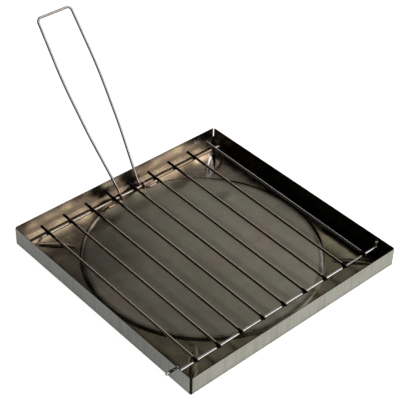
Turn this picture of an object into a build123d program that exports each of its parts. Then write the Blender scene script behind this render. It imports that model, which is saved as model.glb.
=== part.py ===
"""Stovetop toaster: a shallow folded steel tray, a hinged wire grille and a wire loop handle.

Millimetres. +Z is up and +Y points to the rear, where the handle is. The origin is the middle of the
underside of the tray, which is the plane that the toaster stands on. The grille hinges on the bent
ends of its front cross wire, in two holes in the side walls. Behind, it stands on two feet, which are
the turned-down ends of its rear cross wire. The handle turns on the rear cross wire by two wire eyes.
"""

import os
from math import acos, atan2, degrees, hypot, pi, sqrt

from build123d import *

# Tray
TRAY_SIDE = 230.0
WALL_HEIGHT = 18.1
SHEET = 0.6
BEND_INSIDE = 0.6
PLATEAU_MARGIN = 9.2
PLATEAU_RISE = 1.2
PLATEAU_STEP = 2.5
PLATEAU_BLEND = 2.5
BEAD_WIDTH = 8.0
BEAD_RISE = 1.3
BEAD_GAP = 5.0
BEAD_CORNER_GAP = 14.0
WALL_CORNER = 0.5

# Wires
WIRE = 2.4
WELD_SINK = 0.3
RUNNING_GAP = 0.1

# Grille
LONG_WIRES = 9
GRILLE_MARGIN = 19.2
REAR_OVERHANG = 10.0
FRONT_OVERHANG = 3.0
REAR_CROSS_INSET = 20.9
REAR_CROSS_Z = 14.2
FRONT_CROSS_Z = 10.3
FOOT_SETBACK = 6.5
FOOT_BEND = 9.5
FOOT_GAP = 0.1
CUT_END = 0.3

# Hinge of the grille
PIVOT_INSET = 17.9
PIVOT_Z = 14.7
PIVOT_SETBACK = 1.0
CRANK_PLAY = 1.2
CRANK_BEND = 1.7
LONG_STUB = 9.0
SHORT_STUB = 2.5

# Handle
HANDLE_SHIFT = -3.1
HANDLE_LEAN = 52.9
HANDLE_LENGTH = 172.0
EYE_HALF_SPREAD = 11.7
EYE_PITCH = 2.65
LEG_RISE = 5.0
LEG_BOW = ((60.0, 16.5), (112.0, 19.35))
LEG_TOP_HALF = 17.9
LEG_BOW_BEND = 450.0
LEG_FOOT_BEND = 18.0
LOOP_CORNER = 4.0
TAIL_REACH = 4.9
TAIL_GAP = 0.3
TAIL_PAST_WIRE = 6.2
TAIL_BEND = 2.4

# Values that follow from the ones above
half_side = TRAY_SIDE / 2
inner_face = half_side - SHEET
bend_outside = BEND_INSIDE + SHEET
wall_end = half_side - bend_outside
plateau_foot = inner_face - PLATEAU_MARGIN
plateau_radius = plateau_foot - PLATEAU_STEP
plateau_outside = plateau_foot + PLATEAU_STEP / 2
bead_start = plateau_foot + BEAD_GAP
bead_end = half_side * sqrt(2) - BEAD_CORNER_GAP
bead_middle = (bead_start + bead_end) / 2
bead_axis_depth = (BEAD_WIDTH**2 / 4 - BEAD_RISE**2) / (2 * BEAD_RISE)
bead_bow = ((bead_end - bead_start) ** 2 / 4 + BEAD_RISE**2) / (2 * BEAD_RISE)
bead_reach = sqrt(bead_bow**2 - (bead_bow - BEAD_RISE - bead_axis_depth) ** 2)
wire_radius = WIRE / 2
seat_offset = WIRE - WELD_SINK

pivot_y = PIVOT_INSET - inner_face
front_cross_y = pivot_y - PIVOT_SETBACK
rear_cross_y = inner_face - REAR_CROSS_INSET
crank_drop = hypot(PIVOT_SETBACK, PIVOT_Z - FRONT_CROSS_Z)
crank_x = inner_face - wire_radius - CRANK_PLAY
foot_x = inner_face - FOOT_SETBACK

grille_run = hypot(rear_cross_y - front_cross_y, REAR_CROSS_Z - FRONT_CROSS_Z)
grille_tilt = degrees(atan2(REAR_CROSS_Z - FRONT_CROSS_Z, rear_cross_y - front_cross_y))
long_wire_length = FRONT_OVERHANG + grille_run + REAR_OVERHANG
first_wire_x = GRILLE_MARGIN - inner_face
wire_pitch = -2 * first_wire_x / (LONG_WIRES - 1)

eye_radius = WIRE + RUNNING_GAP
eye_slope = EYE_PITCH / (2 * pi * eye_radius)
tail_below = WIRE + TAIL_GAP - seat_offset
tail_offset = hypot(TAIL_REACH, tail_below)
tail_angle = grille_tilt + degrees(atan2(tail_below, TAIL_REACH)) - 180
exit_angle = tail_angle + degrees(acos(eye_radius / tail_offset))
eye_wrap = 360 + (HANDLE_LEAN - 90) - exit_angle
eye_advance = EYE_PITCH * eye_wrap / 360
exit_length = sqrt(tail_offset**2 - eye_radius**2)

# Planes that the wires are set out on. The grille plane holds both cross wires and slopes with them.
# The handle plane holds the handle's hinge axis, and its own +Y runs up the handle.
rear_axis = Vector(0, rear_cross_y, REAR_CROSS_Z)
grille_plane = Plane(rear_axis, x_dir=(1, 0, 0), z_dir=(0, 0, 1)).rotated((grille_tilt, 0, 0))
handle_plane = Plane(rear_axis + Vector(HANDLE_SHIFT, 0, 0)).rotated((HANDLE_LEAN, 0, 0))
pivot_to_run = Vector(0, -PIVOT_SETBACK, FRONT_CROSS_Z - PIVOT_Z)
crank_plane = Plane(
    (0, pivot_y, PIVOT_Z),
    x_dir=(1, 0, 0),
    z_dir=Vector(1, 0, 0).cross(pivot_to_run),
)

os.makedirs("parts", exist_ok=True)


def finish(piece, name):
    """Names a finished piece and writes it."""
    piece.part.label = name
    export_step(piece.part, f"parts/{name}.step")


# The form of one pressed bead, which runs out to nothing at both ends: the top slice of a slender
# spindle that lies below the floor.
with BuildPart() as bead:
    with BuildSketch(Plane.XZ):
        with BuildLine():
            crest = ThreePointArc(
                (bead_middle - bead_reach, -bead_axis_depth),
                (bead_middle, BEAD_RISE),
                (bead_middle + bead_reach, -bead_axis_depth),
            )
            Line(crest @ 1, crest @ 0)
        make_face()
    revolve(axis=Axis((0, 0, -bead_axis_depth), (1, 0, 0)))
    split(bisect_by=Plane.XY, keep=Keep.TOP)

# The folded sheet's section, which is the floor and two opposite walls with their bends.
with BuildSketch() as channel:
    with BuildLine():
        outside = FilletPolyline(
            (-half_side, WALL_HEIGHT),
            (-half_side, 0),
            (half_side, 0),
            (half_side, WALL_HEIGHT),
            radius=bend_outside,
        )
        inside = FilletPolyline(
            (-inner_face, WALL_HEIGHT),
            (-inner_face, SHEET),
            (inner_face, SHEET),
            (inner_face, WALL_HEIGHT),
            radius=BEND_INSIDE,
        )
        Line(outside @ 0, inside @ 0)
        Line(outside @ 1, inside @ 1)
    make_face()

# Tray. Two channels cross, and each wall stops where the bend of the next wall starts, which leaves
# the open slits at the corners. The pressed floor has a round plateau and a bead on each diagonal.
with BuildPart() as tray:
    with BuildSketch(Plane.XZ.offset(-wall_end), Plane.YZ.offset(-wall_end)):
        add(channel.sketch)
    extrude(amount=2 * wall_end)

    with BuildSketch(Plane.XY):
        Circle(plateau_outside)
    extrude(amount=SHEET, mode=Mode.SUBTRACT)
    with BuildSketch(Plane.XZ):
        with BuildLine():
            under = FilletPolyline(
                (0, PLATEAU_RISE),
                (plateau_radius, PLATEAU_RISE),
                (plateau_foot, 0),
                (plateau_outside, 0),
                radius=PLATEAU_BLEND,
            )
            over = FilletPolyline(
                (0, PLATEAU_RISE + SHEET),
                (plateau_radius, PLATEAU_RISE + SHEET),
                (plateau_foot, SHEET),
                (plateau_outside, SHEET),
                radius=PLATEAU_BLEND,
            )
            Line(under @ 0, over @ 0)
            Line(under @ 1, over @ 1)
        make_face()
    revolve(axis=Axis.Z)

    with Locations((0, 0, SHEET)):
        with PolarLocations(0, 4, start_angle=45):
            add(bead.part)
    with PolarLocations(0, 4, start_angle=45):
        add(bead.part, mode=Mode.SUBTRACT)

    with BuildSketch(Plane.YZ):
        with Locations((pivot_y, PIVOT_Z)):
            Circle(wire_radius + RUNNING_GAP)
    extrude(amount=TRAY_SIDE, both=True, mode=Mode.SUBTRACT)

    wall_tops = tray.edges().group_by(Axis.Z)[-1]
    fillet(wall_tops.filter_by(lambda edge: edge.length < 2 * SHEET), WALL_CORNER)

finish(tray, "tray")


def long_wire(index):
    """Makes one long wire of the grille, which lies on top of both cross wires."""
    x = first_wire_x + index * wire_pitch
    start = grille_plane.from_local_coords((x, -grille_run - FRONT_OVERHANG, seat_offset))
    with BuildPart() as wire:
        with BuildSketch(Plane(start, x_dir=(1, 0, 0), z_dir=grille_plane.y_dir)):
            Circle(wire_radius)
        extrude(amount=long_wire_length)
    return wire


long_wires = [long_wire(index) for index in range(LONG_WIRES)]
for number, wire in enumerate(long_wires, start=1):
    finish(wire, f"long_wire_{number}")

# Front cross wire. Its middle run carries the long wires. Both ends crank up to the hinge axis and
# pass through the side walls, the left one with a long stub and the right one with a short stub.
with BuildPart() as front_cross_wire:
    with BuildLine(crank_plane) as front_path:
        FilletPolyline(
            (-half_side - LONG_STUB, 0),
            (-crank_x, 0),
            (-crank_x, crank_drop),
            (crank_x, crank_drop),
            (crank_x, 0),
            (half_side + SHORT_STUB, 0),
            radius=CRANK_BEND,
        )
    with BuildSketch(Plane(front_path.line @ 0, z_dir=front_path.line % 0)):
        Circle(wire_radius)
    sweep(path=front_path.line)
    ends = front_cross_wire.edges().filter_by(GeomType.CIRCLE).group_by(Axis.X)
    chamfer([ends[0], ends[-1]], CUT_END)
    for wire in long_wires:
        add(wire.part, mode=Mode.SUBTRACT)

finish(front_cross_wire, "front_cross_wire")

# Rear cross wire. Its ends turn down into two feet, which stand on the floor of the tray.
with BuildPart() as rear_cross_wire:
    with BuildLine(Plane.XZ.offset(-rear_cross_y)) as rear_path:
        FilletPolyline(
            (-foot_x, SHEET + FOOT_GAP),
            (-foot_x, REAR_CROSS_Z),
            (foot_x, REAR_CROSS_Z),
            (foot_x, SHEET + FOOT_GAP),
            radius=FOOT_BEND,
        )
    with BuildSketch(Plane(rear_path.line @ 0, z_dir=rear_path.line % 0)):
        Circle(wire_radius)
    sweep(path=rear_path.line)
    for wire in long_wires:
        add(wire.part, mode=Mode.SUBTRACT)

finish(rear_cross_wire, "rear_cross_wire")

# Handle. Half of it is drawn and mirrored: half the top bar, a bowed leg, an eye of a little over one
# turn round the rear cross wire, and a tail that turns outwards under the nearest long wires. The
# tails meet those wires when the handle leans back, which stops it there.
leg_plane = handle_plane.offset(-eye_radius)
eye_plane = Plane(
    handle_plane.from_local_coords((EYE_HALF_SPREAD, 0, 0)),
    x_dir=-handle_plane.z_dir,
    z_dir=(1, 0, 0),
)
eye = eye_plane * Helix(EYE_PITCH, eye_advance, eye_radius, lefthand=True)
tail_corner = eye @ 1 + (eye % 1) * hypot(1, eye_slope) * exit_length
tail_tip = Vector(HANDLE_SHIFT + wire_pitch + TAIL_PAST_WIRE, tail_corner.Y, tail_corner.Z)
with BuildPart() as handle:
    with BuildLine(leg_plane):
        leg = FilletPolyline(
            (0, HANDLE_LENGTH),
            (LEG_TOP_HALF, HANDLE_LENGTH),
            *[(half, height) for height, half in reversed(LEG_BOW)],
            (EYE_HALF_SPREAD - eye_slope * LEG_RISE, LEG_RISE),
            (EYE_HALF_SPREAD, 0),
            radius=[LOOP_CORNER, LEG_BOW_BEND, LEG_BOW_BEND, LEG_FOOT_BEND],
        )
    with BuildLine():
        add(eye)
        FilletPolyline(eye @ 1, tail_corner, tail_tip, radius=TAIL_BEND)
    with BuildSketch(Plane(leg @ 0, z_dir=leg % 0)):
        Circle(wire_radius)
    sweep()
    mirror(about=Plane(handle_plane.origin, z_dir=(1, 0, 0)))

finish(handle, "handle")
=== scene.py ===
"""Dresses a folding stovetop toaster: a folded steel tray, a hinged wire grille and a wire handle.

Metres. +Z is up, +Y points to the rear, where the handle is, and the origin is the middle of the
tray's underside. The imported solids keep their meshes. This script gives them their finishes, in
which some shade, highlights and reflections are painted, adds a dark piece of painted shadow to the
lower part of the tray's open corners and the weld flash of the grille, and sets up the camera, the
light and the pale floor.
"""

import logging
from dataclasses import dataclass, field
from enum import Enum
from functools import cached_property
from math import cos, pi, radians, sin, sqrt
from random import Random

import bpy
from mathutils import Matrix, Vector


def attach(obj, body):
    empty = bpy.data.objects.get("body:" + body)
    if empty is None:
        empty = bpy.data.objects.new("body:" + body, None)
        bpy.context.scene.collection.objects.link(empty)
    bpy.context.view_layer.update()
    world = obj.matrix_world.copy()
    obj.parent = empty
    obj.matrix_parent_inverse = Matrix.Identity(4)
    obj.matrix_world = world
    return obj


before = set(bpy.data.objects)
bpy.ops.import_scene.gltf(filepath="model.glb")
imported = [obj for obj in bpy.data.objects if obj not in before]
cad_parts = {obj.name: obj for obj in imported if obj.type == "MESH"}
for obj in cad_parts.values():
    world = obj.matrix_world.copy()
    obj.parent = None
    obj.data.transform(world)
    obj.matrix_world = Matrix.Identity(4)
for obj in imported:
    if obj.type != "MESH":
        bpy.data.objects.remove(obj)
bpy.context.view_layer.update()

log = logging.getLogger("toaster")

Colour = tuple[float, float, float]
Triple = tuple[float, float, float]
Face = tuple[int, ...]
Socket = bpy.types.NodeSocket

# Sizes of the wires that several pieces share, in metres.
LONG_WIRES = 9
WIRE_PITCH = 0.0238
FRONT_ROW = -0.0975
REAR_AXIS = (0.0, 0.0935, 0.0142)


class Axis(Enum):
    """The row's axes, by their place in a vector."""

    X = 0
    Y = 1
    Z = 2


class Wave(Enum):
    """How a value rises between two limits."""

    LINEAR = "LINEAR"
    SMOOTH = "SMOOTHSTEP"


class Graph:
    """A node tree that is built by calls, most of them one node each."""

    def __init__(self, tree: bpy.types.NodeTree) -> None:
        """Clears the tree and keeps it.

        Args:
            tree: the node tree to build in.
        """
        self.tree = tree
        self.tree.nodes.clear()

    def add(self, kind: str, inputs: dict | None = None, **settings: object) -> bpy.types.Node:
        """Adds a node.

        Args:
            kind: the node's type.
            inputs: input name or index to a value, or to the output that feeds it.
            settings: the node's own settings.

        Returns:
            The node.
        """
        node = self.tree.nodes.new(kind)
        for name, value in settings.items():
            setattr(node, name, value)
        for key, value in (inputs or {}).items():
            if isinstance(value, Socket):
                self.tree.links.new(value, node.inputs[key])
            else:
                node.inputs[key].default_value = value
        return node

    def math(self, operation: str, a: Socket | float, b: Socket | float = 0.0) -> Socket:
        """Works out one operation on two values and returns its output."""
        return self.add("ShaderNodeMath", {0: a, 1: b}, operation=operation).outputs[0]

    def between(
        self,
        value: Socket,
        low: float,
        high: float,
        out_low: float = 0.0,
        out_high: float = 1.0,
        wave: Wave = Wave.SMOOTH,
    ) -> Socket:
        """Maps a value from one range to another.

        Args:
            value: the value to map.
            low: the value that gives out_low.
            high: the value that gives out_high.
            out_low: the result at low and beyond it.
            out_high: the result at high and beyond it.
            wave: how the result rises.

        Returns:
            The output socket.
        """
        inputs = {0: value, 1: low, 2: high, 3: out_low, 4: out_high}
        return self.add("ShaderNodeMapRange", inputs, interpolation_type=wave.value).outputs[0]

    def band(self, value: Socket, middle: float, half: float, edge: float) -> Socket:
        """Gives 1 within half of the middle, and falls to 0 over the edge."""
        away = self.math("ABSOLUTE", self.math("SUBTRACT", value, middle))
        return self.between(away, half, half + edge, 1.0, 0.0)

    def both(self, first: Socket, *others: Socket) -> Socket:
        """Multiplies values, so that masks give 1 only where all of them do.

        Args:
            first: the first value.
            others: the values to multiply it by.

        Returns:
            The output socket.
        """
        for other in others:
            first = self.math("MULTIPLY", first, other)
        return first

    def either(self, first: Socket, *others: Socket) -> Socket:
        """Takes the largest of some masks.

        Args:
            first: the first mask.
            others: the masks to compare it with.

        Returns:
            The output socket.
        """
        for other in others:
            first = self.math("MAXIMUM", first, other)
        return first

    def without(self, mask: Socket, share: float = 1.0) -> Socket:
        """Gives 1 where the mask is 0, and 1 less the share where it is 1."""
        return self.math("SUBTRACT", 1.0, self.math("MULTIPLY", mask, share))

    def boosted(self, mask: Socket, share: float) -> Socket:
        """Gives 1 where the mask is 0, and 1 plus the share where it is 1."""
        return self.math("ADD", 1.0, self.math("MULTIPLY", mask, share))

    def blend(self, amount: Socket, a: Socket | float, b: Socket | float) -> Socket:
        """Mixes two values and returns the output."""
        return self.add("ShaderNodeMix", {0: amount, 2: a, 3: b}, data_type="FLOAT").outputs[0]

    def mix(self, amount: Socket | float, a: Socket | Colour, b: Socket | Colour) -> Socket:
        """Mixes two colours.

        Args:
            amount: the share of b, which is held between 0 and 1.
            a: the colour at 0.
            b: the colour at 1.

        Returns:
            The output socket.
        """
        inputs = {0: amount}
        for index, colour in ((6, a), (7, b)):
            inputs[index] = colour if isinstance(colour, Socket) else (*colour, 1.0)
        return self.add("ShaderNodeMix", inputs, data_type="RGBA").outputs[2]

    def place(self, scale: Triple = (1, 1, 1)) -> Socket:
        """Gives the point in the row frame, times a scale for each axis."""
        inputs = {0: self.add("ShaderNodeTexCoord").outputs["Object"], "Scale": scale}
        return self.add("ShaderNodeMapping", inputs).outputs[0]

    def part(self, vector: Socket, axis: Axis) -> Socket:
        """Gives one component of a vector."""
        return self.add("ShaderNodeSeparateXYZ", {0: vector}).outputs[axis.value]

    def vector(self, operation: str, a: Socket, b: Socket | Triple) -> Socket:
        """Works out one operation on two vectors and returns the new vector."""
        return self.add("ShaderNodeVectorMath", {0: a, 1: b}, operation=operation).outputs[0]

    def dot(self, a: Socket, b: Socket | Triple) -> Socket:
        """Gives the dot product of two vectors."""
        return self.add("ShaderNodeVectorMath", {0: a, 1: b}, operation="DOT_PRODUCT").outputs["Value"]

    def length(self, vector: Socket) -> Socket:
        """Gives a vector's length."""
        return self.add("ShaderNodeVectorMath", {0: vector}, operation="LENGTH").outputs["Value"]

    def scaled(self, vector: Socket, gain: Socket | float) -> Socket:
        """Multiplies a vector or colour by a value, which may be more than 1."""
        return self.add("ShaderNodeVectorMath", {0: vector, "Scale": gain}, operation="SCALE").outputs[0]


class Surface(Graph):
    """A material's graph. What it reads at the shaded point is made on first use and then kept."""

    def __init__(self, name: str) -> None:
        """Makes the material and clears its graph.

        Args:
            name: the material's name.
        """
        self.material = bpy.data.materials.new(name)
        self.material.use_nodes = True
        super().__init__(self.material.node_tree)

    @cached_property
    def point(self) -> Socket:
        """The shaded point in the row frame."""
        return self.place()

    @cached_property
    def x(self) -> Socket:
        """The point's place along X."""
        return self.part(self.point, Axis.X)

    @cached_property
    def y(self) -> Socket:
        """The point's place along Y."""
        return self.part(self.point, Axis.Y)

    @cached_property
    def z(self) -> Socket:
        """The point's height."""
        return self.part(self.point, Axis.Z)

    @cached_property
    def radius(self) -> Socket:
        """The point's distance from the tray's middle, seen from above."""
        return self.length(self.vector("MULTIPLY", self.point, (1, 1, 0)))

    @cached_property
    def normal(self) -> Socket:
        """The way the surface faces."""
        return self.add("ShaderNodeTexCoord").outputs["Normal"]

    @cached_property
    def upward(self) -> Socket:
        """How far up the surface faces, from -1 to 1."""
        return self.part(self.normal, Axis.Z)

    def bump(self, height: Socket, metres: float, below: Socket | None = None) -> Socket:
        """Turns a height from 0 to 1 into a normal.

        Args:
            height: the height pattern.
            metres: the height of 1.
            below: a normal to add it to.

        Returns:
            The normal.
        """
        inputs = {"Height": height, "Distance": metres, "Strength": 1.0}
        if below is not None:
            inputs["Normal"] = below
        return self.add("ShaderNodeBump", inputs).outputs[0]

    def metal(self, colour: Socket, roughness: Socket, normal: Socket) -> bpy.types.Material:
        """Ends the graph with bare metal.

        Args:
            colour: what the metal gives back.
            roughness: how dull it is.
            normal: the way it faces, with its unevenness.

        Returns:
            The finished material.
        """
        inputs = {"Base Color": colour, "Metallic": 1.0, "Roughness": roughness, "Normal": normal}
        shader = self.add("ShaderNodeBsdfPrincipled", inputs)
        self.add("ShaderNodeOutputMaterial", {0: shader.outputs[0]})
        return self.material


@dataclass(frozen=True)
class Ramp:
    """A smooth change between two limits.

    Attributes:
        low: the value that gives out_low.
        high: the value that gives out_high.
        out_low: the result at low and beyond it.
        out_high: the result at high and beyond it.
    """

    low: float
    high: float
    out_low: float = 0.0
    out_high: float = 1.0

    def draw(self, g: Graph, value: Socket) -> Socket:
        """Gives the result for a value."""
        return g.between(value, self.low, self.high, self.out_low, self.out_high)


@dataclass(frozen=True)
class Stripe:
    """A narrow mark.

    Attributes:
        middle: where its middle is.
        half: half of its full width.
        edge: how far it fades out on each side.
    """

    middle: float
    half: float
    edge: float

    def draw(self, g: Graph, value: Socket) -> Socket:
        """Gives 1 on the stripe."""
        return g.band(value, self.middle, self.half, self.edge)


@dataclass(frozen=True)
class Pattern:
    """A soft random pattern.

    Attributes:
        scale: how many lumps there are to a metre, times the scale of the place it is read at.
        detail: how many finer layers it has.
        roughness: how strong those layers are.
    """

    scale: float
    detail: float
    roughness: float

    def node(self, g: Graph, place: Socket) -> bpy.types.Node:
        """Makes the pattern's node, read at a place."""
        inputs = {"Vector": place, "Scale": self.scale, "Detail": self.detail, "Roughness": self.roughness}
        return g.add("ShaderNodeTexNoise", inputs)

    def draw(self, g: Graph, place: Socket) -> Socket:
        """Gives the pattern, from 0 to 1."""
        return self.node(g, place).outputs[0]

    def shift(self, g: Graph, place: Socket) -> Socket:
        """Gives a random shift along each axis, of up to half of 1 either way."""
        return g.vector("SUBTRACT", self.node(g, place).outputs[1], (0.5, 0.5, 0.5))


@dataclass(frozen=True)
class SoftPatch:
    """A soft dark patch, which stands for smoke stains and for painted shade, or with a depth below 0, a
    painted highlight.

    Attributes:
        middle: its middle in the row frame, in metres.
        reach: how far it reaches along X, Y and Z.
        depth: how much light it takes at its middle.
        core: the share of its reach that has the full depth.
    """

    middle: Triple
    reach: Triple
    depth: float
    core: float = 0.35

    def draw(self, g: Graph, place: Socket) -> Socket:
        """Gives the share of light that the patch lets through."""
        away = g.vector("DIVIDE", g.vector("SUBTRACT", place, self.middle), self.reach)
        return g.between(g.length(away), self.core, 1.0, 1.0 - self.depth, 1.0)


@dataclass(frozen=True)
class TrayMasks:
    """Masks and patterns that several layers of the tray's finish share, as sockets.

    Attributes:
        clouds: a wide soft pattern.
        patches: a finer one.
        outer: 1 on the outside and the underside.
        inner_wall: 1 on the walls' inner faces.
        plateau: 1 on the plateau.
        glow: 1 on the painted reflection along the lower part of the rear wall.
        painted_sheen: more than 1 on the patches of painted highlight.
    """

    clouds: Socket
    patches: Socket
    outer: Socket
    inner_wall: Socket
    plateau: Socket
    glow: Socket
    painted_sheen: Socket


@dataclass(frozen=True)
class TraySheet:
    """Bright rolled sheet steel, tinted by heat inside and smoked in places, with painted shade, painted
    highlights and painted reflections.

    A share says how much of a colour is mixed in, and a gain how much more or less light the sheet
    gives back than its colour says.
    """

    name: str = "tray_sheet"

    # The tray's sizes.
    inner_face: float = 0.1144
    wall_top: float = 0.0181
    plateau_foot: float = 0.1052

    # Colours of the outside, the plateau, the floor round it, and the walls inside; of the painted reflection
    # on the rear wall and of the painted highlights; and the near black of smoke stains and painted shade.
    outside: Colour = (0.345, 0.345, 0.315)
    outside_straw: Colour = (0.350, 0.345, 0.285)
    olive: Colour = (0.58, 0.545, 0.425)
    rust: Colour = (0.60, 0.505, 0.41)
    rosy: Colour = (0.63, 0.50, 0.39)
    straw: Colour = (0.61, 0.52, 0.38)
    smoked: Colour = (0.61, 0.54, 0.33)
    wall_rosy: Colour = (0.90, 0.79, 0.71)
    wall_straw: Colour = (0.86, 0.79, 0.65)
    wall_reflection_colour: Colour = (1.0, 0.85, 0.73)
    glint_colour: Colour = (0.98, 0.95, 0.86)
    soot_and_shade: Colour = (0.012, 0.010, 0.008)

    # Patterns, and how deep the uneven surface is.
    clouds: Pattern = Pattern(26.0, 5.0, 0.6)
    patches: Pattern = Pattern(70.0, 4.0, 0.6)
    grain: Pattern = Pattern(900.0, 3.0, 0.6)
    drift: Pattern = Pattern(75.0, 3.0, 0.55)
    streaks: Pattern = Pattern(1.0, 3.0, 0.6)
    streak_scale: Triple = (700.0, 700.0, 16.0)
    dents: Pattern = Pattern(34.0, 2.0, 0.4)
    dent_depth: float = 0.0004
    fine: Pattern = Pattern(420.0, 3.0, 0.5)
    fine_depth: float = 0.00001

    # Where the parts of the tray start.
    wall_slope: Ramp = Ramp(0.55, 0.45)
    facing_out: Ramp = Ramp(0.05, 0.06)
    facing_down: Ramp = Ramp(-0.4, -0.5)
    plateau_reach: Ramp = Ramp(plateau_foot - 0.007, plateau_foot - 0.004, 1.0, 0.0)
    border_start: Ramp = Ramp(plateau_foot - 0.008, plateau_foot + 0.004)
    rear_wall: Ramp = Ramp(inner_face - 0.002, inner_face - 0.001)
    front_side: Ramp = Ramp(-0.110, -0.1145)

    # Shares of the colours inside.
    rust_share: Ramp = Ramp(0.48, 0.68)
    straw_share: Ramp = Ramp(0.42, 0.60)
    smoked_share: Ramp = Ramp(0.0, 0.07, 0.75, 0.0)
    wall_straw_share: Ramp = Ramp(0.42, 0.58)

    # Gains inside. Painted light and shade: the plateau is painted brighter on the right, and the floor round
    # it brighter towards the rear.
    plateau_light_across: Ramp = Ramp(-0.08, 0.07, 0.82, 1.20)
    plateau_gain: Ramp = Ramp(0.3, 0.7, 0.93, 1.07)
    border_shade_along: Ramp = Ramp(0.02, 0.075, 0.50, 0.84)
    border_gain: Ramp = Ramp(0.34, 0.66, 0.74, 1.10)
    wall_gain: Ramp = Ramp(0.34, 0.66, 0.84, 1.22)
    grain_gain: Ramp = Ramp(0.3, 0.7, 0.94, 1.05)

    # A painted reflection: the pale, duller band along the lower part of the rear wall.
    wall_glow: Stripe = Stripe(0.0055, 0.0018, 0.0022)
    wall_glow_share: float = 0.85
    wall_glow_roughness: float = 0.7

    # Painted highlights: the left flank of the rear right bead, and two glints along the plateau's rim.
    bead_flank: Stripe = Stripe(-0.0014, 0.0016, 0.0009)
    bead_start: Ramp = Ramp(0.150, 0.156)
    bead_top: Ramp = Ramp(0.6, 0.8)
    glint_gain: float = 0.45
    glints: tuple[tuple[SoftPatch, Stripe], ...] = (
        (SoftPatch((0.074, -0.069, 0.001), (0.020, 0.024, 0.006), 1.0), Stripe(0.1022, 0.0009, 0.0006)),
        (SoftPatch((-0.047, 0.091, 0.001), (0.016, 0.014, 0.006), 1.0), Stripe(0.1028, 0.0009, 0.0006)),
    )

    # Dark patches on the rear wall and on the floor, which are smoke stains in part and painted shade and
    # painted dark reflections in part; and patches of painted highlight, which are also smoother.
    drift_reach: float = 0.010
    dark_patches: tuple[SoftPatch, ...] = (
        SoftPatch((-0.027, inner_face, 0.014), (0.012, 0.010, 0.010), 0.97),
        SoftPatch((-0.020, inner_face, 0.006), (0.010, 0.012, 0.009), 0.98),
        SoftPatch((0.009, inner_face, 0.014), (0.014, 0.010, 0.010), 0.96),
        SoftPatch((0.013, inner_face, 0.005), (0.013, 0.013, 0.009), 0.98),
        SoftPatch((0.030, inner_face, 0.016), (0.012, 0.010, 0.008), 0.50),
        SoftPatch((-0.050, inner_face, 0.014), (0.008, 0.010, 0.008), 0.35),
        SoftPatch((0.084, inner_face, 0.016), (0.016, 0.010, 0.009), 0.70),
        SoftPatch((-0.112, inner_face, 0.014), (0.016, 0.010, 0.014), 0.60),
        SoftPatch((-0.078, 0.055, 0.0), (0.070, 0.052, 0.006), 0.34),
        SoftPatch((-0.080, 0.098, 0.0), (0.045, 0.008, 0.006), 0.50),
        SoftPatch((-0.040, 0.085, 0.0), (0.020, 0.011, 0.006), 0.70),
        SoftPatch((0.046, 0.085, 0.0), (0.016, 0.012, 0.006), 0.50),
        SoftPatch((0.063, 0.047, 0.0), (0.014, 0.009, 0.006), 0.35),
    )
    painted_highlights: tuple[SoftPatch, ...] = (
        SoftPatch((0.0895, 0.0945, 0.001), (0.018, 0.018, 0.004), -0.60),
        SoftPatch((0.098, -0.066, 0.001), (0.013, 0.034, 0.004), -0.70),
    )

    # Painted dark reflection on the right wall, painted shade on the tops of the walls, and lines of painted
    # shade along the foot of the walls and round the rear of the plateau's foot.
    right_wall_shade: Ramp = Ramp(inner_face - 0.002, inner_face - 0.001, 1.0, 0.16)
    shaded_top: Ramp = Ramp(wall_top - 0.0050, wall_top - 0.0005, 0.0, 0.50)
    crease_shade: Stripe = Stripe(0.0034, 0.0008, 0.0007)
    rear_crease_shade: Stripe = Stripe(0.0050, 0.0014, 0.0008)
    rear_crease_start: Ramp = Ramp(0.100, 0.104)
    crease_sway: float = 0.0020
    crease_shade_depth: float = 0.96
    rim_shade: Stripe = Stripe(plateau_foot + 0.0004, 0.0004, 0.0006)
    rim_shade_start: Ramp = Ramp(0.0, 0.05)
    rim_shade_depth: float = 0.85

    # The outside, with painted shade at its foot; and the cut edges, with painted shade on the top edges and
    # at the open corners.
    foot_shade: Ramp = Ramp(0.0, 0.006, 0.72, 1.0)
    streak_shade: Ramp = Ramp(0.3, 0.7, 0.82, 1.1)
    cloud_shade: Ramp = Ramp(0.3, 0.7, 0.88, 1.08)
    outside_straw_share: Ramp = Ramp(0.25, 0.6)
    lip_height: Ramp = Ramp(wall_top - 0.0004, wall_top - 0.0002)
    lip_slope: Ramp = Ramp(0.3, 0.6)
    lip_depth: float = 0.7
    corner_start: Ramp = Ramp(0.1131, 0.1136)

    # How dull the sheet, the plateau and the patches of painted highlight are.
    sheet_roughness: Ramp = Ramp(0.3, 0.7, 0.22, 0.29)
    plateau_roughness: float = 0.42
    highlight_roughness: Ramp = Ramp(1.0, 1.4, 1.0, 0.5)

    def masks(self, g: Surface) -> TrayMasks:
        """Builds the masks that the layers share.

        Args:
            g: the graph to build in.

        Returns:
            The masks.
        """
        outer_side = self.facing_out.draw(g, g.dot(g.normal, g.point))
        steep = self.wall_slope.draw(g, g.math("ABSOLUTE", g.upward))
        return TrayMasks(
            clouds=self.clouds.draw(g, g.point),
            patches=self.patches.draw(g, g.point),
            outer=g.either(outer_side, self.facing_down.draw(g, g.upward)),
            inner_wall=g.both(steep, g.without(outer_side)),
            plateau=self.plateau_reach.draw(g, g.radius),
            # The painted reflection on the rear wall.
            glow=g.both(self.wall_glow.draw(g, g.z), self.rear_wall.draw(g, g.y)),
            # The patches of painted highlight.
            painted_sheen=g.both(*[patch.draw(g, g.point) for patch in self.painted_highlights]),
        )

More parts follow.
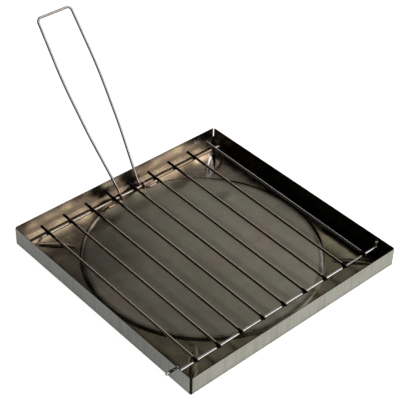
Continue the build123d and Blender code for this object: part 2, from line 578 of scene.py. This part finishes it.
    def tint(self, g: Surface, masks: TrayMasks) -> Socket:
        """Works out the colour of the clean inside.

        Args:
            g: the graph to build in.
            masks: the shared masks.

        Returns:
            The colour.
        """
        plateau = g.mix(self.rust_share.draw(g, masks.clouds), self.olive, self.rust)
        border = g.mix(self.straw_share.draw(g, masks.patches), self.rosy, self.straw)
        border = g.mix(self.smoked_share.draw(g, g.y), border, self.smoked)
        floor = g.mix(self.border_start.draw(g, g.radius), plateau, border)
        wall = g.mix(self.wall_straw_share.draw(g, masks.patches), self.wall_rosy, self.wall_straw)
        return g.mix(masks.inner_wall, floor, wall)

    def gain(self, g: Surface, masks: TrayMasks) -> Socket:
        """Works out how much more or less light than its colour says the inside gives back, with painted
        light and shade by place.

        Args:
            g: the graph to build in.
            masks: the shared masks.

        Returns:
            The gain.
        """
        # Painted light and shade: brighter plateau on the right, brighter floor towards the rear.
        plateau = g.both(self.plateau_light_across.draw(g, g.x), self.plateau_gain.draw(g, masks.patches))
        border = g.both(self.border_shade_along.draw(g, g.y), self.border_gain.draw(g, masks.patches))
        around = g.blend(masks.inner_wall, border, self.wall_gain.draw(g, masks.patches))
        grain = self.grain_gain.draw(g, self.grain.draw(g, g.point))
        return g.both(g.blend(masks.plateau, around, plateau), grain, masks.painted_sheen)

    def painted_glints(self, g: Surface) -> Socket:
        """Finds the painted highlights on the left flank of the rear right bead and along the plateau's rim.

        Args:
            g: the graph to build in.

        Returns:
            The mask.
        """
        across = g.math("MULTIPLY", g.math("SUBTRACT", g.x, g.y), sqrt(0.5))
        flank = g.both(
            self.bead_flank.draw(g, across),
            self.bead_start.draw(g, g.math("ADD", g.x, g.y)),
            self.bead_top.draw(g, g.upward),
        )
        glints = [
            g.both(g.without(patch.draw(g, g.point)), circle.draw(g, g.radius))
            for patch, circle in self.glints
        ]
        return g.either(flank, *glints)

    def crease_shade_by_walls(self, g: Surface, shift: Socket) -> Socket:
        """Finds the line of painted shade that runs along the foot of the walls.

        Args:
            g: the graph to build in.
            shift: the random shift that makes the line wavy.

        Returns:
            The mask.
        """
        outermost = g.math("MAXIMUM", g.math("ABSOLUTE", g.x), g.math("ABSOLUTE", g.y))
        sway = g.math("MULTIPLY", g.part(shift, Axis.X), self.crease_sway)
        from_wall = g.math("ADD", g.math("SUBTRACT", self.inner_face, outermost), sway)
        at_rear = self.rear_crease_start.draw(g, g.y)
        return g.blend(at_rear, self.crease_shade.draw(g, from_wall), self.rear_crease_shade.draw(g, from_wall))

    def soot_and_painted_shade(self, g: Surface, masks: TrayMasks) -> Socket:
        """Works out the share of light that smoke stains and painted shade let through on the inside.

        Args:
            g: the graph to build in.
            masks: the shared masks.

        Returns:
            The share, from 0 to 1.
        """
        shift = self.drift.shift(g, g.point)
        moved = g.vector("ADD", g.point, g.scaled(shift, self.drift_reach))
        # Smoke stains, with painted shade and painted dark reflections among them.
        shares = [dark_patch.draw(g, moved) for dark_patch in self.dark_patches]
        # Painted dark reflection on the right wall.
        shares.append(self.right_wall_shade.draw(g, g.x))
        # Painted shade on the tops of the walls.
        shares.append(g.without(g.both(self.shaded_top.draw(g, g.z), masks.inner_wall)))
        # Painted shade along the foot of the walls.
        off_walls = g.without(masks.inner_wall)
        by_walls = g.both(self.crease_shade_by_walls(g, shift), off_walls)
        shares.append(g.without(by_walls, self.crease_shade_depth))
        # Painted shade round the rear of the plateau's foot.
        by_rim = g.both(self.rim_shade.draw(g, g.radius), self.rim_shade_start.draw(g, g.y), off_walls)
        shares.append(g.without(by_rim, self.rim_shade_depth))
        return g.both(*shares)

    def inside(self, g: Surface, masks: TrayMasks) -> Socket:
        """Works out the colour of the inside, with its painted highlights and painted reflection, smoke
        stains and painted shade.

        Args:
            g: the graph to build in.
            masks: the shared masks.

        Returns:
            The colour.
        """
        # Painted highlights on the bead's flank and the plateau's rim.
        painted_glints = self.painted_glints(g)
        colour = g.mix(painted_glints, self.tint(g, masks), self.glint_colour)
        gain = g.both(self.gain(g, masks), g.boosted(painted_glints, self.glint_gain))
        # The painted reflection on the rear wall.
        glow = g.math("MULTIPLY", masks.glow, self.wall_glow_share)
        colour = g.mix(glow, g.scaled(colour, gain), self.wall_reflection_colour)
        # Smoke stains and painted shade.
        return g.mix(self.soot_and_painted_shade(g, masks), self.soot_and_shade, colour)

    def outer_colour(self, g: Surface, masks: TrayMasks) -> Socket:
        """Works out the colour of the outside, which is streaked up and down and darker at the foot, where
        shade is painted.

        Args:
            g: the graph to build in.
            masks: the shared masks.

        Returns:
            The colour.
        """
        streaks = self.streaks.draw(g, g.place(self.streak_scale))
        # Painted shade at the foot, and random streaks and clouds.
        shade = g.both(
            self.foot_shade.draw(g, g.z),
            self.streak_shade.draw(g, streaks),
            self.cloud_shade.draw(g, masks.clouds),
        )
        straw = g.both(self.front_side.draw(g, g.y), self.outside_straw_share.draw(g, masks.patches))
        return g.mix(shade, self.soot_and_shade, g.mix(straw, self.outside, self.outside_straw))

    def edges(self, g: Surface) -> Socket:
        """Works out the painted shade that makes the top edges and the open corners black.

        Args:
            g: the graph to build in.

        Returns:
            The mask.
        """
        # Painted shade on the top edges and at the open corners.
        lip = g.both(self.lip_height.draw(g, g.z), self.lip_slope.draw(g, g.upward))
        corner = g.both(*[self.corner_start.draw(g, g.math("ABSOLUTE", side)) for side in (g.x, g.y)])
        return g.either(g.math("MULTIPLY", lip, self.lip_depth), corner)

    def dullness(self, g: Surface, masks: TrayMasks) -> Socket:
        """Works out the roughness.

        Args:
            g: the graph to build in.
            masks: the shared masks.

        Returns:
            The roughness.
        """
        sheet = self.sheet_roughness.draw(g, masks.patches)
        return g.both(
            g.blend(masks.plateau, sheet, self.plateau_roughness),
            g.boosted(masks.glow, self.wall_glow_roughness),
            self.highlight_roughness.draw(g, masks.painted_sheen),
        )

    def make(self) -> bpy.types.Material:
        """Builds the material.

        Returns:
            The material.
        """
        g = Surface(self.name)
        masks = self.masks(g)
        colour = g.mix(masks.outer, self.inside(g, masks), self.outer_colour(g, masks))
        colour = g.mix(self.edges(g), colour, self.soot_and_shade)
        dented = g.bump(self.dents.draw(g, g.point), self.dent_depth)
        normal = g.bump(self.fine.draw(g, g.point), self.fine_depth, dented)
        return g.metal(colour, self.dullness(g, masks), normal)


@dataclass(frozen=True)
class Wire:
    """Drawn steel wire, browned by heat in places and burnt black where it is told to, with painted shade on
    its underside and along a given stretch.

    Attributes:
        name: the material's name.
        steel: the colour of the clean wire.
        warm: the colour where heat has tinted it.
        roughness: how dull it is.
        warm_share: how much of it is tinted, from 0 to 1.
        warm_right: how much more of it is tinted on the right.
        burnt_rows: the middles, along Y, of burnt stretches, in metres.
        burnt_behind: the wire is burnt from this Y on.
        burnt_pitch: the distance between burnt spots along X, or 0 for none.
        burnt_right_below: the right side is burnt under this height, in metres.
        shaded_stretch: the X at which a stretch with painted shade starts and ends, in metres.
        underside_shade: how much light the underside gives back under its painted shade.
        copper_reach: how far the copper tint reaches from the rear cross wire's axis, or 0 for none.
    """

    name: str
    steel: Colour
    warm: Colour
    roughness: float
    warm_share: float = 0.4
    warm_right: float = 0.0
    burnt_rows: tuple[float, ...] = ()
    burnt_behind: float = 1.0
    burnt_pitch: float = 0.0
    burnt_right_below: float = -1.0
    shaded_stretch: tuple[float, float] = (1.0, 1.0)
    underside_shade: float = 1.0
    copper_reach: float = 0.0

    # Colours and patterns of every wire.
    copper: Colour = (0.92, 0.62, 0.46)
    burnt: Colour = (0.030, 0.025, 0.020)
    clouds: Pattern = Pattern(60.0, 4.0, 0.6)
    cloud_range: tuple[float, float] = (0.3, 0.7)
    specks: Pattern = Pattern(650.0, 3.0, 0.6)
    drawn: Pattern = Pattern(1500.0, 2.0, 0.5)
    drawn_depth: float = 0.00002
    roughness_spread: tuple[float, float] = (0.85, 1.25)

    # The heat tint starts lower in the pattern where more of the wire is tinted.
    warm_start: float = 0.75
    warm_span: float = 0.5
    warm_edge: float = 0.1
    middle_stretch: tuple[float, float] = (-0.03, 0.03)

    # The copper tint, which is weaker on the right.
    copper_core: float = 0.4
    copper_across: Ramp = Ramp(-0.004, 0.012, 1.0, 0.35)
    copper_clouds: Ramp = Ramp(0.3, 0.5)

    # How the burnt places, the stretch with painted shade and the painted shade on the underside fade out.
    ragged: tuple[float, float] = (-0.006, 0.006)
    behind_fade: float = 0.012
    row_half: float = 0.0022
    row_fade: float = 0.0012
    burnt_spot: tuple[float, float] = (0.0018, 0.0028)
    stretch_fade: float = 0.003
    stretch_shade_depth: float = 0.6
    low_fade: float = 0.001
    right_side: Ramp = Ramp(0.0, 0.01)
    speck_depth: Ramp = Ramp(0.62, 0.72, 0.0, 0.5)
    turned_up: tuple[float, float] = (0.15, 0.85)

    def tinted(self, g: Surface, clouds: Socket) -> Socket:
        """Works out the colour of the wire before it is burnt.

        Args:
            g: the graph to build in.
            clouds: the soft pattern.

        Returns:
            The colour.
        """
        start = self.warm_start - self.warm_span * self.warm_share
        heat = g.math("ADD", clouds, g.between(g.x, *self.middle_stretch, 0.0, self.warm_right))
        warmth = g.between(heat, start - self.warm_edge, start + self.warm_edge)
        colour = g.mix(warmth, self.steel, self.warm)
        if not self.copper_reach:
            return colour
        off_axis = g.vector("MULTIPLY", g.vector("SUBTRACT", g.point, REAR_AXIS), (0, 1, 1))
        core = self.copper_reach * self.copper_core
        copper = g.both(
            self.copper_across.draw(g, g.x),
            g.between(g.length(off_axis), core, self.copper_reach, 1.0, 0.0),
            self.copper_clouds.draw(g, clouds),
        )
        return g.mix(copper, colour, self.copper)

    def burns(self, g: Surface, clouds: Socket) -> Socket:
        """Works out how burnt the wire is.

        Args:
            g: the graph to build in.
            clouds: the soft pattern.

        Returns:
            The mask.
        """
        ragged = g.math("ADD", g.y, g.between(clouds, *self.cloud_range, *self.ragged))
        burns = [g.between(ragged, self.burnt_behind, self.burnt_behind + self.behind_fade)]
        burns += [g.band(g.y, row, self.row_half, self.row_fade) for row in self.burnt_rows]
        if self.burnt_pitch:
            steps = g.math("DIVIDE", g.x, self.burnt_pitch)
            off = g.math("ABSOLUTE", g.math("SUBTRACT", steps, g.math("ROUND", steps)))
            core, end = (reach / self.burnt_pitch for reach in self.burnt_spot)
            burns.append(g.between(off, core, end, 1.0, 0.0))
        # The stretch with painted shade.
        first, last = self.shaded_stretch
        dull = g.both(
            g.between(g.x, first, first + self.stretch_fade),
            g.between(g.x, last - self.stretch_fade, last, 1.0, 0.0),
        )
        burns.append(g.math("MULTIPLY", dull, self.stretch_shade_depth))
        low = g.between(g.z, self.burnt_right_below, self.burnt_right_below + self.low_fade, 1.0, 0.0)
        burns.append(g.both(low, self.right_side.draw(g, g.x)))
        return g.either(*burns)

    def make(self) -> bpy.types.Material:
        """Builds the material.

        Returns:
            The material.
        """
        g = Surface(self.name)
        clouds = self.clouds.draw(g, g.point)
        colour = g.mix(self.burns(g, clouds), self.tinted(g, clouds), self.burnt)
        specks = self.speck_depth.draw(g, self.specks.draw(g, g.point))
        colour = g.mix(specks, colour, self.burnt)
        # Painted shade on the underside.
        unshaded = g.between(g.upward, *self.turned_up, self.underside_shade, 1.0)
        colour = g.mix(unshaded, self.burnt, colour)
        spread = [self.roughness * share for share in self.roughness_spread]
        roughness = g.between(clouds, *self.cloud_range, *spread)
        return g.metal(colour, roughness, g.bump(self.drawn.draw(g, g.point), self.drawn_depth))


@dataclass
class Studio:
    """A pale floor, a soft sky that is bright to the right of the front, and one soft lamp.

    Attributes:
        floor_half: half of the floor's side.
        floor_drop: how far the floor is under the tray.
        bright_side: where the sky is brightest.
        sky_stops: how far a direction turns to the bright side, from -1 to 1, and the sky's level there.
        overhead: the sky's share by height, which falls towards the top.
        near_side: where the sky is dark, behind the camera.
        near_dark: its share by how far a direction turns there.
        skirt: its share by height, which falls towards the horizon.
        low_side: where a low pale strip stands, behind the tray.
        low_reach: how far that strip reaches to its sides.
        low_height: how high it reaches.
        low_light: its colour.
        lamp_place: the lamp's place.
        lamp_size: the lamp's side.
        lamp_power: the lamp's power in watts.
        floor_shade: the floor's own colour.
        floor_glow_seen: the light that the camera sees the floor give.
        floor_side: the direction in which the mirrored floor gets brighter.
        floor_glow_mirrored: the light that mirrored rays see it give, along that direction.
    """

    floor_half: float = 4.0
    floor_drop: float = 0.0003
    bright_side: Triple = (0.5, -0.866, 0.0)
    sky_stops: tuple[tuple[float, float], ...] = (
        (-1.0, 0.0),
        (-0.62, 0.0),
        (-0.42, 0.11),
        (-0.28, 0.14),
        (-0.17, 0.28),
        (0.05, 0.40),
        (0.36, 0.42),
        (0.72, 1.50),
        (1.0, 1.60),
    )
    overhead: Ramp = Ramp(0.77, 0.91, 1.0, 0.015)
    near_side: Triple = (-0.675, -0.737, 0.0)
    near_dark: Ramp = Ramp(0.56, 0.74, 1.0, 0.03)
    skirt: Ramp = Ramp(0.26, 0.38, 0.05, 1.0)
    low_side: Triple = (0.342, 0.940, 0.0)
    low_reach: Ramp = Ramp(0.60, 0.76)
    low_height: Ramp = Ramp(0.29, 0.39, 1.0, 0.0)
    low_light: Colour = (0.9, 0.9, 0.9)
    lamp_place: Vector = field(default_factory=lambda: Vector((0.95, -0.95, 1.15)))
    lamp_size: float = 0.9
    lamp_power: float = 6.0
    floor_shade: Colour = (0.60, 0.60, 0.60)
    floor_glow_seen: float = 0.95
    floor_side: Triple = (sqrt(0.5), -sqrt(0.5), 0.0)
    floor_glow_mirrored: Ramp = Ramp(-0.05, 0.04, 0.41, 0.80)

    def side_light(self, g: Graph, direction: Socket) -> Socket:
        """Works out the sky's light by how far a direction turns to the bright side.

        Args:
            g: the graph to build in.
            direction: the direction.

        Returns:
            The light.
        """
        side = g.dot(direction, self.bright_side)
        ramp = g.add("ShaderNodeValToRGB", {0: g.between(side, -1.0, 1.0, wave=Wave.LINEAR)})
        band = ramp.color_ramp
        band.interpolation = "EASE"
        while len(band.elements) < len(self.sky_stops):
            band.elements.new(0.5)
        for element, (place, level) in zip(band.elements, self.sky_stops):
            element.position = (place + 1) / 2
            element.color = (level, level, level, 1.0)
        return ramp.outputs[0]

    def light_sky(self) -> None:
        """Builds the world. Its light depends on the direction, and the camera itself sees white."""
        world = bpy.data.worlds.new("sky")
        world.use_nodes = True
        bpy.context.scene.world = world
        g = Graph(world.node_tree)
        direction = g.add("ShaderNodeTexCoord").outputs["Generated"]
        height = g.part(direction, Axis.Z)
        share = g.both(
            self.overhead.draw(g, height),
            self.near_dark.draw(g, g.dot(direction, self.near_side)),
            self.skirt.draw(g, height),
        )
        low = g.both(self.low_height.draw(g, height), self.low_reach.draw(g, g.dot(direction, self.low_side)))
        colour = g.mix(low, g.scaled(self.side_light(g, direction), share), self.low_light)
        camera = g.add("ShaderNodeLightPath").outputs["Is Camera Ray"]
        background = g.add("ShaderNodeBackground", {0: g.mix(camera, colour, (1.0, 1.0, 1.0)), 1: 1.0})
        g.add("ShaderNodeOutputWorld", {0: background.outputs[0]})

    def paper(self) -> bpy.types.Material:
        """Builds the floor's material. The camera sees it near white, apart from the faint shadow.

        Returns:
            The material.
        """
        g = Surface("floor")
        rays = g.add("ShaderNodeLightPath").outputs
        diffuse = g.add("ShaderNodeBsdfDiffuse", {0: (*self.floor_shade, 1.0)})
        seen = g.math("MULTIPLY", rays["Is Camera Ray"], self.floor_glow_seen)
        reflected = g.either(rays["Is Glossy Ray"], rays["Is Transmission Ray"])
        mirrored = g.both(reflected, self.floor_glow_mirrored.draw(g, g.dot(g.point, self.floor_side)))
        glow = g.add("ShaderNodeEmission", {0: (1.0, 1.0, 1.0, 1.0), 1: g.math("ADD", seen, mirrored)})
        lit = g.add("ShaderNodeAddShader", {0: diffuse.outputs[0], 1: glow.outputs[0]})
        g.add("ShaderNodeOutputMaterial", {0: lit.outputs[0]})
        return g.material

    def lay_floor(self) -> None:
        """Lays the floor."""
        mesh = bpy.data.meshes.new("floor")
        h = self.floor_half
        z = -self.floor_drop
        mesh.from_pydata([(-h, -h, z), (h, -h, z), (h, h, z), (-h, h, z)], [], [(0, 1, 2, 3)])
        mesh.materials.append(self.paper())
        floor = bpy.data.objects.new("floor", mesh)
        bpy.context.scene.collection.objects.link(floor)

    def hang_lamp(self) -> None:
        """Hangs the soft lamp, aimed at the tray."""
        data = bpy.data.lights.new("softbox", "AREA")
        data.shape = "SQUARE"
        data.size = self.lamp_size
        data.energy = self.lamp_power
        lamp = bpy.data.objects.new("softbox", data)
        lamp.location = self.lamp_place
        lamp.rotation_mode = "QUATERNION"
        lamp.rotation_quaternion = (-self.lamp_place).to_track_quat("-Z", "Y")
        lamp.visible_glossy = False
        bpy.context.scene.collection.objects.link(lamp)

    def build(self) -> None:
        """Sets up the floor and the light."""
        bpy.context.scene.view_settings.view_transform = "Standard"
        self.light_sky()
        self.lay_floor()
        self.hang_lamp()


@dataclass
class Viewpoint:
    """The photograph's camera. Azimuth 0 looks along +Y.

    Attributes:
        azimuth: which way it looks, in degrees.
        elevation: how far it looks down, in degrees.
        roll: its turn about the line of sight, in degrees.
        focal_pixels: the lens's focal length in pixels of the photograph.
        frame_pixels: the photograph's width.
        sensor_mm: the width of the sensor.
        nearest: the nearest distance that it sees.
        origin_right: how far the origin is to its right.
        origin_down: how far the origin is below its line of sight.
        origin_forward: how far the origin is in front of it.
    """

    azimuth: float = -42.459
    elevation: float = 38.948
    roll: float = -1.511
    focal_pixels: float = 1205.3
    frame_pixels: float = 400.0
    sensor_mm: float = 36.0
    nearest: float = 0.01
    origin_right: float = 0.002831
    origin_down: float = 0.046536
    origin_forward: float = 1.03924

    def build(self) -> None:
        """Makes the camera."""
        a, e, r = radians(self.azimuth), radians(self.elevation), radians(self.roll)
        back = Vector((sin(a) * cos(e), -cos(a) * cos(e), sin(e)))
        level = (-back).cross(Vector((0, 0, 1))).normalized()
        plumb = (-back).cross(level)
        right = cos(r) * level + sin(r) * plumb
        down = cos(r) * plumb - sin(r) * level
        data = bpy.data.cameras.new("camera")
        data.sensor_width = self.sensor_mm
        data.lens = self.focal_pixels * self.sensor_mm / self.frame_pixels
        data.clip_start = self.nearest
        camera = bpy.data.objects.new("camera", data)
        place = -(right * self.origin_right + down * self.origin_down - back * self.origin_forward)
        turn = Matrix((right, -down, back)).transposed().to_4x4()
        camera.matrix_world = Matrix.Translation(place) @ turn
        bpy.context.scene.collection.objects.link(camera)
        bpy.context.scene.camera = camera


def dress(node: str, material: bpy.types.Material) -> None:
    """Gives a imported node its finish.

    Args:
        node: the node's name.
        material: its finish.
    """
    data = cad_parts[node].data
    data.materials.clear()
    data.materials.append(material)
    log.info("%s wears %s", node, material.name)


def join_rings(start: int, rings: int, sides: int) -> list[Face]:
    """Joins stacked rings of points and closes both ends.

    Args:
        start: the first point of the lowest ring.
        rings: how many rings there are.
        sides: how many points each has.

    Returns:
        The faces.
    """
    faces = []
    for ring in range(rings - 1):
        below = start + ring * sides
        above = below + sides
        for step in range(sides):
            after = (step + 1) % sides
            faces.append((below + step, below + after, above + after, above + step))
    top = start + (rings - 1) * sides
    faces.append(tuple(start + step for step in reversed(range(sides))))
    faces.append(tuple(top + step for step in range(sides)))
    return faces


def add_piece(
    name: str, points: list[Vector], faces: list[Face], material: bpy.types.Material
) -> bpy.types.Object:
    """Adds a smooth mesh to the scene.

    Args:
        name: the piece's name.
        points: its points.
        faces: its faces, as places in the list of points.
        material: its finish.

    Returns:
        The piece.
    """
    mesh = bpy.data.meshes.new(name)
    mesh.from_pydata([tuple(point) for point in points], [], faces)
    mesh.shade_smooth()
    mesh.materials.append(material)
    piece = bpy.data.objects.new(name, mesh)
    bpy.context.scene.collection.objects.link(piece)
    return piece


@dataclass
class CornerShadow:
    """A dark piece of painted shadow that fills the lower part of the four open corners.

    Attributes:
        corner: how far the slits' middles are from the tray's middle, along X and Y.
        foot: the lowest point.
        tops: the heights, for the corners from the rear right one to the left.
        girth: half of the piece's thickness.
        least_girth: half of its thickness at the top.
        taper: how late it tapers. A larger value tapers later.
        evenness: the smallest and largest random share of the thickness.
        rings: how many rings of points a strand has.
        sides: how many points a ring has.
        seed: the seed of its shape.
        soot_and_shade: its finish.
    """

    corner: float = 0.11412
    foot: float = 0.0006
    tops: tuple[float, ...] = (0.0098, 0.0140, 0.0165, 0.0110)
    girth: float = 0.00050
    least_girth: float = 0.00005
    taper: int = 6
    evenness: tuple[float, float] = (0.86, 1.0)
    rings: int = 24
    sides: int = 10
    seed: int = 11
    soot_and_shade: Wire = Wire("corner_shadow", (0.030, 0.026, 0.022), (0.055, 0.042, 0.032), 0.55)

    def strand(self, corner: Vector, top: float, chance: Random) -> list[Vector]:
        """Works out the points of one strand.

        Args:
            corner: the middle of the slit, at height 0.
            top: the strand's height.
            chance: the source of its uneven thickness.

        Returns:
            The points, as rings from the lowest to the highest.
        """
        points = []
        for ring in range(self.rings):
            rise = ring / (self.rings - 1)
            girth = self.girth * (1 - rise**self.taper) * chance.uniform(*self.evenness) + self.least_girth
            middle = corner + Vector((0, 0, self.foot + rise * (top - self.foot)))
            for step in range(self.sides):
                angle = 2 * pi * step / self.sides
                points.append(middle + Vector((cos(angle), sin(angle), 0)) * girth)
        return points

    def build(self) -> None:
        """Makes the four strands as one mesh that rides on the tray."""
        chance = Random(self.seed)
        points, faces = [], []
        for quarter, top in enumerate(self.tops):
            angle = pi / 4 + quarter * pi / 2
            corner = Vector((cos(angle), sin(angle), 0)) * sqrt(2) * self.corner
            faces += join_rings(len(points), self.rings, self.sides)
            points += self.strand(corner, top, chance)
        soot_and_shade = add_piece("corner_shadow", points, faces, self.soot_and_shade.make())
        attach(soot_and_shade, "tray")
        log.info("corner_shadow fills %d corners", len(self.tops))


@dataclass
class Tray:
    """The folded sheet tray."""

    sheet: TraySheet = field(default_factory=TraySheet)

    def build(self) -> None:
        """Dresses the tray and fills its corners with painted shadow."""
        dress("tray", self.sheet.make())
        # The dark piece of painted shadow in the open corners.
        CornerShadow().build()


@dataclass
class WeldFlash:
    """The burnt lumps of metal round the spot welds, where the long wires sit on the cross wires.

    Attributes:
        rows: the Y and Z of the front and the rear weld points.
        size: half of a lump's width, length and height.
        fullness: the square of a lump's girth at half height, as a share of its size.
        bulges: the smallest and largest random share of the girth.
        rings: how many rings of points a lump has.
        sides: how many points a ring has.
        seed: the seed of the lumps' shapes.
        burnt: their finish.
    """

    rows: tuple[tuple[float, float], ...] = ((FRONT_ROW, 0.01135), (REAR_AXIS[1], 0.01525))
    size: Triple = (0.0021, 0.0021, 0.0010)
    fullness: float = 1.04
    bulges: tuple[float, float] = (0.82, 1.06)
    rings: int = 5
    sides: int = 12
    seed: int = 7
    burnt: Wire = Wire("weld_burnt", (0.06, 0.05, 0.04), (0.10, 0.07, 0.05), 0.45)

    def lump(self, middle: Vector, chance: Random) -> list[Vector]:
        """Works out the points of one lump.

        Args:
            middle: the lump's middle.
            chance: the source of its turn and its bulges.

        Returns:
            The points, as rings from the lowest to the highest.
        """
        points = []
        turn = chance.uniform(0, pi)
        for ring in range(self.rings):
            height = 2 * ring / (self.rings - 1) - 1
            girth = sqrt(max(0.0, self.fullness - height**2))
            for step in range(self.sides):
                angle = turn + 2 * pi * step / self.sides
                bulge = girth * chance.uniform(*self.bulges)
                unit = (cos(angle) * bulge, sin(angle) * bulge, height)
                points.append(middle + Vector([share * half for share, half in zip(unit, self.size)]))
        return points

    def build(self) -> None:
        """Makes all lumps as one mesh that rides on the grille."""
        chance = Random(self.seed)
        points, faces = [], []
        for y, z in self.rows:
            for index in range(LONG_WIRES):
                x = (index - (LONG_WIRES - 1) / 2) * WIRE_PITCH
                faces += join_rings(len(points), self.rings, self.sides)
                points += self.lump(Vector((x, y, z)), chance)
        flash = add_piece("weld_flash", points, faces, self.burnt.make())
        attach(flash, "grille")
        log.info("weld_flash has %d lumps", LONG_WIRES * len(self.rows))


@dataclass
class Grille:
    """The long wires on their two cross wires.

    Attributes:
        long: the finish of the burnt long wires.
        last: the finish of the last long wire, which is burnt only at the front weld.
        front: the finish of the front cross wire.
        rear: the finish of the rear cross wire.
    """

    long: Wire = Wire(
        name="grille_long_wire",
        steel=(0.74, 0.63, 0.55),
        warm=(0.78, 0.57, 0.44),
        roughness=0.18,
        warm_share=0.5,
        burnt_rows=(FRONT_ROW,),
        burnt_behind=0.074,
        underside_shade=0.25,
    )
    last: Wire = Wire(
        name="grille_last_wire",
        steel=(0.78, 0.77, 0.76),
        warm=(0.70, 0.64, 0.60),
        roughness=0.20,
        warm_share=0.2,
        burnt_rows=(FRONT_ROW,),
    )
    front: Wire = Wire(
        name="front_cross_wire",
        steel=(0.86, 0.85, 0.81),
        warm=(0.80, 0.72, 0.62),
        roughness=0.16,
        warm_share=0.2,
        burnt_pitch=WIRE_PITCH,
        shaded_stretch=(3 * WIRE_PITCH, 4 * WIRE_PITCH),
        underside_shade=0.35,
    )
    rear: Wire = Wire(
        name="rear_cross_wire",
        steel=(0.90, 0.80, 0.68),
        warm=(0.72, 0.50, 0.36),
        roughness=0.18,
        warm_share=0.35,
        warm_right=0.25,
        burnt_pitch=WIRE_PITCH,
        burnt_right_below=0.0125,
        underside_shade=0.35,
    )

    def build(self) -> None:
        """Dresses the wires and adds the weld flash."""
        material = self.long.make()
        for number in range(1, LONG_WIRES):
            dress(f"long_wire_{number}", material)
        dress(f"long_wire_{LONG_WIRES}", self.last.make())
        dress("front_cross_wire", self.front.make())
        dress("rear_cross_wire", self.rear.make())
        WeldFlash().build()


@dataclass
class Handle:
    """The folding wire handle.

    Attributes:
        wire: its finish, which has a copper tint at the eyes.
    """

    wire: Wire = Wire(
        name="handle_wire",
        steel=(0.72, 0.69, 0.66),
        warm=(0.76, 0.64, 0.57),
        roughness=0.26,
        warm_share=0.4,
        underside_shade=0.45,
        copper_reach=0.016,
    )

    def build(self) -> None:
        """Dresses the handle."""
        dress("handle", self.wire.make())


def main() -> None:
    """Builds the scene in order."""
    logging.basicConfig(level=logging.INFO, format="%(name)s: %(message)s")
    Viewpoint().build()
    Studio().build()
    Tray().build()
    Grille().build()
    Handle().build()


if __name__ == "__main__":
    main()
